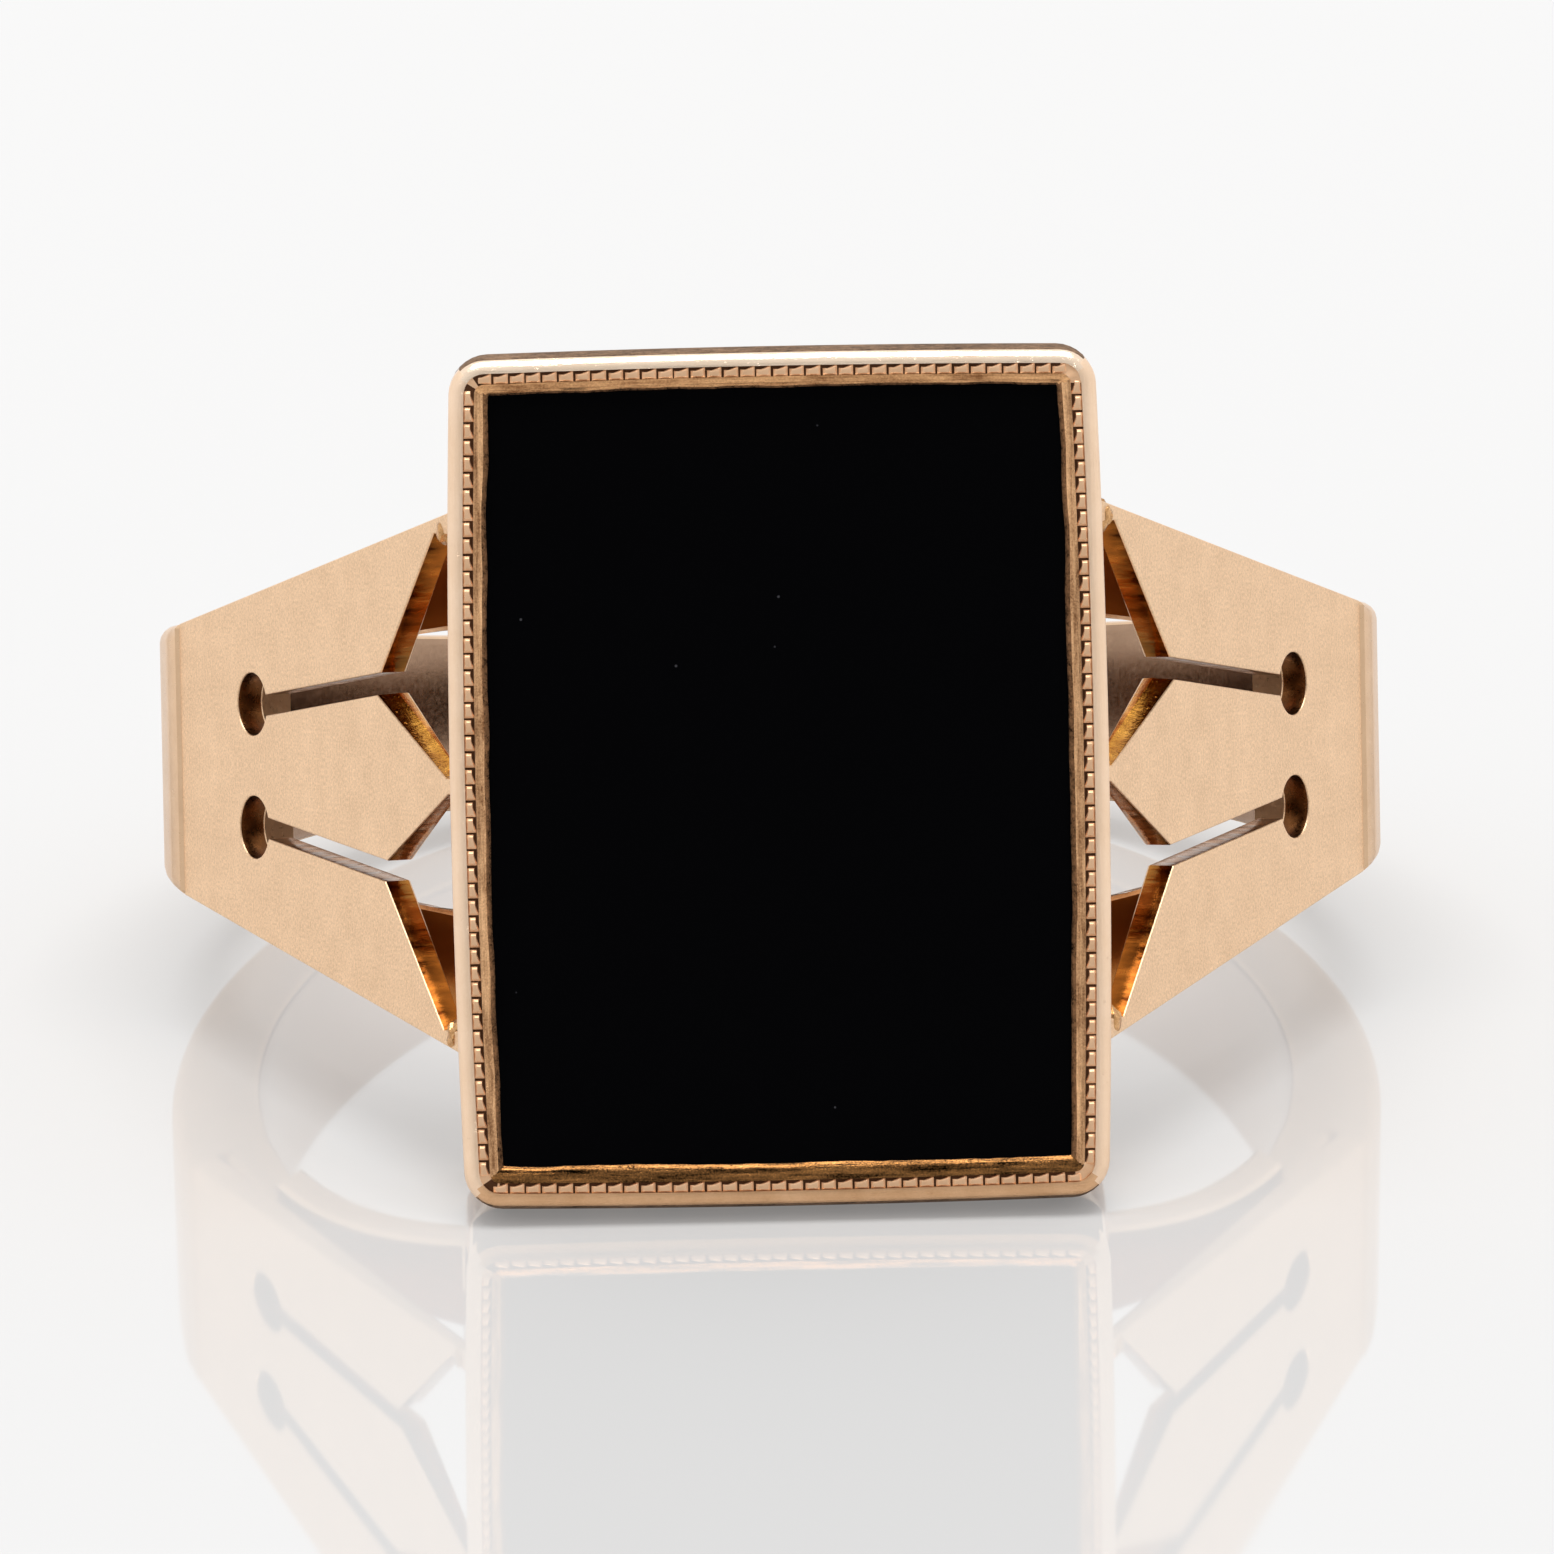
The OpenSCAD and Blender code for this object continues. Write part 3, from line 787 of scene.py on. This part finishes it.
def build_plate(side):
    """side is 1 for the right-hand plate and -1 for the left-hand one."""
    def build(work):
        lower = [Vector((p.x, -p.y)) for p in reversed(half_outline())]
        whole = half_outline() + lower
        filed = half_outline(TONGUE_FILED) + lower
        # outline, how far inside it, and place out of the plate's face
        levels = (
            (whole, 0.012, -PLATE_T),
            (whole, 0, -PLATE_T + 0.03),
            (whole, 0, FILED_FROM),
            (filed, 0, -0.03),
            (filed, 0.01, -0.01),
            (filed, 0.028, 0),
            (filed, 0.038, 0),
        )
        outlines = []
        loops = []
        for source, amount, out in levels:
            points = inset_outline(source, amount)
            loop = [on_plate(p.x, p.y, out) for p in points]
            for p in loop:
                p.x = side * max(p.x, INSIDE_BEZEL_X)
            outlines.append(points)
            loops.append(loop)

        def material_of(i, middle):
            """The levels' second and third strips are the plate's walls."""
            return PLATE_MATERIALS.index(plate_wall(middle) if i in (1, 2) else SATIN)

        rows = skin(work, loops, False, material_of)
        for i in (0, -1):
            cap(work, rows[i], outlines[i])
        for up, size in SOLDER_AT:
            solder(work, side, up, size)
    return build


def solder(work, side, up, size):
    """A small uneven lump of solder where a tip of the plate meets the bezel."""
    middle = on_plate(SOLDER_ALONG, up, SOLDER_OUT)
    made = bmesh.ops.create_icosphere(work, subdivisions=3, radius=1)
    for v in made["verts"]:
        rough = 1 + 0.3 * noise.noise(v.co * 1.7 + Vector((up, side, 0)))
        p = Vector([v.co[i] * size[i] * rough for i in range(3)]) + middle
        v.co = Vector((p.x * side, p.y, p.z))
    for v in made["verts"]:
        for face in v.link_faces:
            face.material_index = PLATE_MATERIALS.index(SOLDER)


# ---------------------------------------------------------------- hoop

def hoop_half_height(y):
    """Half of the hoop's height, least at its back."""
    share = (y - HOOP_END_Y) / (HOOP_HIGH.y - HOOP_END_Y)
    return PLATE_HOOP_H + (HOOP_BACK_H - PLATE_HOOP_H) * min(max(share, 0), 1)


def hoop_section(inner, outer, half):
    """A band's section between two points, rounded at its four corners and crowned outside."""
    thick = (outer - inner).length
    out = (outer - inner).normalized()
    points = []
    for sz, start, base, radius in (
        (1, 90, outer, HOOP_OUTER_R),
        (-1, 0, outer, HOOP_OUTER_R),
        (-1, -90, inner, HOOP_INNER_R),
        (1, -180, inner, HOOP_INNER_R),
    ):
        sign = -1 if base is outer else 1
        for i in range(5):
            a = math.radians(start - 90 * i / 4)
            deep = sign * radius + radius * math.cos(a)
            up = sz * (half - radius) + radius * math.sin(a)
            points.append(base + out * deep + Vector((0, 0, up)))
    crowned = []
    for p in points:
        share = (p - inner).dot(out) / thick
        crowned.append(p - out * (HOOP_CROWN * share * (p.z / half) ** 2))
    return crowned


def hoop_outer(direction):
    """Where a ray from the finger's middle meets the hoop's outer circle."""
    b = direction.dot(HOOP_MID)
    return direction * (b + math.sqrt(b * b - HOOP_MID.length_squared + HOOP_R ** 2))


def build_hoop(work):
    """The band behind the finger, from lap to lap, with a small step past each plate's end."""
    start = math.atan2(HOOP_END_Y, PLATE_FOOT.x + PLATE_L * math.cos(PLATE_ANGLE))
    band = []
    for i in range(HOOP_STEPS + 1):
        a = start + (math.pi - 2 * start) * i / HOOP_STEPS
        out = Vector((math.cos(a), math.sin(a), 0))
        outer = hoop_outer(out)
        band.append(hoop_section(out * FINGER_R, outer, hoop_half_height(outer.y)))

    def lap(along, half):
        """The part under the plate, between its back and the finger hole."""
        inner = on_plate(along, 0, -PLATE_T)
        foot = along + PLATE_FOOT.dot(PLATE_ALONG)
        deep = math.sqrt(FINGER_R ** 2 - foot ** 2)
        rim = PLATE_ALONG * foot + PLATE_OUT * deep
        return hoop_section(rim, inner, half)

    def step(past, proud):
        """The band's first section, past the plate's end and proud of its face by so much."""
        made = []
        for p in band[0]:
            on_end = p + PLATE_ALONG * (PLATE_L + past - along_plate(p))
            extra = (on_end - PLATE_FOOT).dot(PLATE_OUT) - proud
            made.append(on_end - PLATE_OUT * max(extra, 0))
        return made

    end_rows = [
        lap(LAP_ALONG, LAP_H),
        lap(PLATE_L, PLATE_HOOP_H),
        step(past=-0.01, proud=-0.014),
        step(past=0.06, proud=0.05),
    ]
    mirrored = [[Vector((-p.x, p.y, p.z)) for p in loop] for loop in reversed(end_rows)]

    def material_of(i, middle):
        # the hoop's inside, by the finger, takes the darker inner gold: painted shade
        return HOOP_MATERIALS.index(INSIDE if middle.xy.length < HOOP_INSIDE_TO else HOOP)

    rows = skin(work, end_rows + band[1:-1] + mirrored, False, material_of)
    flat = [((p - PLATE_FOOT).dot(PLATE_OUT), p.z) for p in end_rows[0]]
    for row in (rows[0], rows[-1]):
        cap(work, row, flat)


# ---------------------------------------------------------------- arms

def arm_section():
    """Outline of an arm seen along the finger: a pad under the bezel, then the arc."""
    in_x = HALF_W - WALL_T
    foot = LAP_ALONG + PLATE_FOOT.dot(PLATE_ALONG)
    points = [Vector((in_x, BOX_BACK_Y)), Vector((ARM_PAD_X, BOX_BACK_Y))]
    arcs = (
        (ARM_R, HALF_W, range(ARM_STEPS + 1)),
        (FINGER_R, in_x, range(ARM_STEPS, -1, -1)),
    )
    for radius, start_x, order in arcs:
        near = math.asin(start_x / radius)
        far = PLATE_ANGLE + math.asin(foot / radius)
        for i in order:
            a = near + (far - near) * i / ARM_STEPS
            points.append(Vector((radius * math.sin(a), -radius * math.cos(a))))
    return points


def build_arm(side, up):
    """side is 1 for the right-hand arms and -1 for the left-hand ones, up is 1 or -1."""
    def build(work):
        section = arm_section()
        end_x = PLATE_FOOT.x + LAP_ALONG * math.cos(PLATE_ANGLE)

        def level(x, ends):
            share = min(max((x - HALF_W) / (end_x - HALF_W), 0), 1)
            return ends[0] + (ends[1] - ends[0]) * share

        outline = inset_outline(section, ARM_BEVEL)
        levels = (
            (outline, ARM_LOW_EDGE, 0),
            (section, ARM_LOW_EDGE, ARM_BEVEL),
            (section, ARM_HIGH_EDGE, -ARM_BEVEL),
            (outline, ARM_HIGH_EDGE, 0),
        )
        loops = []
        for points, ends, lift in levels:
            loops.append([Vector((p.x * side, p.y, up * (level(p.x, ends) + lift))) for p in points])

        def material_of(i, middle):
            """The levels' second strip is the arm's wall, in the dark strip gold: painted shade."""
            return ARM_MATERIALS.index(ARM if i == 1 else POLISHED)

        rows = skin(work, loops, False, material_of)
        for row in (rows[0], rows[-1]):
            cap(work, row, outline)
    return build


# ---------------------------------------------------------------- studio

def camera():
    """The camera: a long lens a little above the stone's own normal.

    distance, shown_width and target are in millimetres.
    """
    above, beside, roll = math.radians(3.3), math.radians(-0.75), math.radians(-1.1)
    distance = 250.0
    shown_width = 26.47
    look = Vector((-math.sin(beside) * math.cos(above), math.cos(beside) * math.cos(above), -math.sin(above)))
    right = look.cross(Vector((0, 0, 1))).normalized()
    up = right.cross(look)
    right_rolled = right * math.cos(roll) + up * math.sin(roll)
    up_rolled = up * math.cos(roll) - right * math.sin(roll)
    target = Vector((-0.05, RIM_Y, 0.035))
    turn = Matrix((right_rolled, up_rolled, -look)).transposed().to_4x4()
    data = bpy.data.cameras.new("camera")
    data.sensor_width = 36.0
    data.lens = data.sensor_width * distance / shown_width
    data.clip_start = 0.01
    data.clip_end = 20.0
    obj = bpy.data.objects.new("camera", data)
    bpy.context.scene.collection.objects.link(obj)
    obj.matrix_world = Matrix.Translation(RING @ (target - look * distance)) @ RING_TURN @ turn
    bpy.context.scene.camera = obj


# light of the tent by the angle in degrees from the middle of its opening
TENT = ((0, 0.004), (8, 0.012), (15, 0.42), (30, 0.75), (62, 0.9), (80, 1.0), (180, 1.0))
OPENING_ABOVE = math.radians(12.5)
BACKDROP = 0.93


def studio_world():
    """A white tent with a dark opening in front, and an even backdrop where the camera sees it."""
    world = bpy.data.worlds.new("studio")
    world.use_nodes = True
    bpy.context.scene.world = world
    tree = world.node_tree
    back = tree.nodes["Background"]
    where = tree.nodes.new("ShaderNodeTexCoord")
    front = tree.nodes.new("ShaderNodeVectorMath")
    front.operation = "DOT_PRODUCT"
    front.inputs[1].default_value = (0, -math.cos(OPENING_ABOVE), math.sin(OPENING_ABOVE))
    tree.links.new(where.outputs["Generated"], front.inputs[0])
    angle = tree.nodes.new("ShaderNodeMath")
    angle.operation = "ARCCOSINE"
    tree.links.new(front.outputs["Value"], angle.inputs[0])
    share = remap(tree, angle.outputs["Value"], 0, math.pi, 0, 1)
    ramp = tree.nodes.new("ShaderNodeValToRGB")
    for stop in TENT[1:-1]:
        ramp.color_ramp.elements.new(stop[0] / 180)
    for stop, (degrees, light) in zip(ramp.color_ramp.elements, TENT):
        stop.position = degrees / 180
        stop.color = (light, light, light, 1)
    tree.links.new(share, ramp.inputs["Fac"])
    path = tree.nodes.new("ShaderNodeLightPath")
    seen = tree.nodes.new("ShaderNodeMix")
    seen.inputs["B"].default_value = BACKDROP
    tree.links.new(path.outputs["Is Camera Ray"], seen.inputs["Factor"])
    tree.links.new(ramp.outputs["Color"], seen.inputs["A"])
    tree.links.new(seen.outputs["Result"], back.inputs["Strength"])
    back.inputs["Color"].default_value = (1, 1, 1, 1)


def softbox(name, place, size, radiance):
    """An area light aimed at the ring, as strong as its radiance says."""
    data = bpy.data.lights.new(name, "AREA")
    data.shape = "RECTANGLE"
    data.size, data.size_y = size
    data.energy = radiance * math.pi * size[0] * size[1]
    obj = bpy.data.objects.new(name, data)
    bpy.context.scene.collection.objects.link(obj)
    obj.location = place
    obj.rotation_euler = (-Vector(place)).to_track_quat("-Z", "Y").to_euler()


def studio_floor():
    """A wide glossy white sheet under the ring."""
    work = bmesh.new()
    bmesh.ops.create_grid(work, x_segments=8, y_segments=8, size=3.0)
    mesh = bpy.data.meshes.new("floor")
    work.to_mesh(mesh)
    work.free()
    mesh.materials.append(floor_gloss())
    obj = bpy.data.objects.new("floor", mesh)
    bpy.context.scene.collection.objects.link(obj)


def build_ring():
    """All pieces, and the polished gold on the hidden seat of the stone."""
    piece("bezel_box", build_bezel, BEZEL_MATERIALS, "polished_gold", "bezel")
    piece("beaded_line", build_beads, [BEAD], "polished_gold", "beaded_rim_line")
    piece("stone_tablet", build_stone, [ONYX], "onyx", "onyx_stone")
    piece("hoop_band", build_hoop, HOOP_MATERIALS, "polished_gold", "hoop")
    for side, hand in ((1, "right"), (-1, "left")):
        plate = "shoulder_plate_" + hand
        piece("sheet_plate_" + hand, build_plate(side), PLATE_MATERIALS, "satin_gold", plate)
        for up, level in ((1, "upper"), (-1, "lower")):
            node = "inner_arm_" + level + "_" + hand
            strip = "strip_" + level + "_" + hand
            piece(strip, build_arm(side, up), ARM_MATERIALS, "polished_gold", node)
    seat = frame["nodes"]["stone_seat"]
    for held in seat.material_slots:
        held.material = POLISHED


camera()
studio_world()
studio_floor()
softbox("overhead", place=(0.0, 0.0, 0.4), size=(0.34, 0.17), radiance=6.4)
build_ring()
bpy.context.scene.view_settings.view_transform = "Standard"
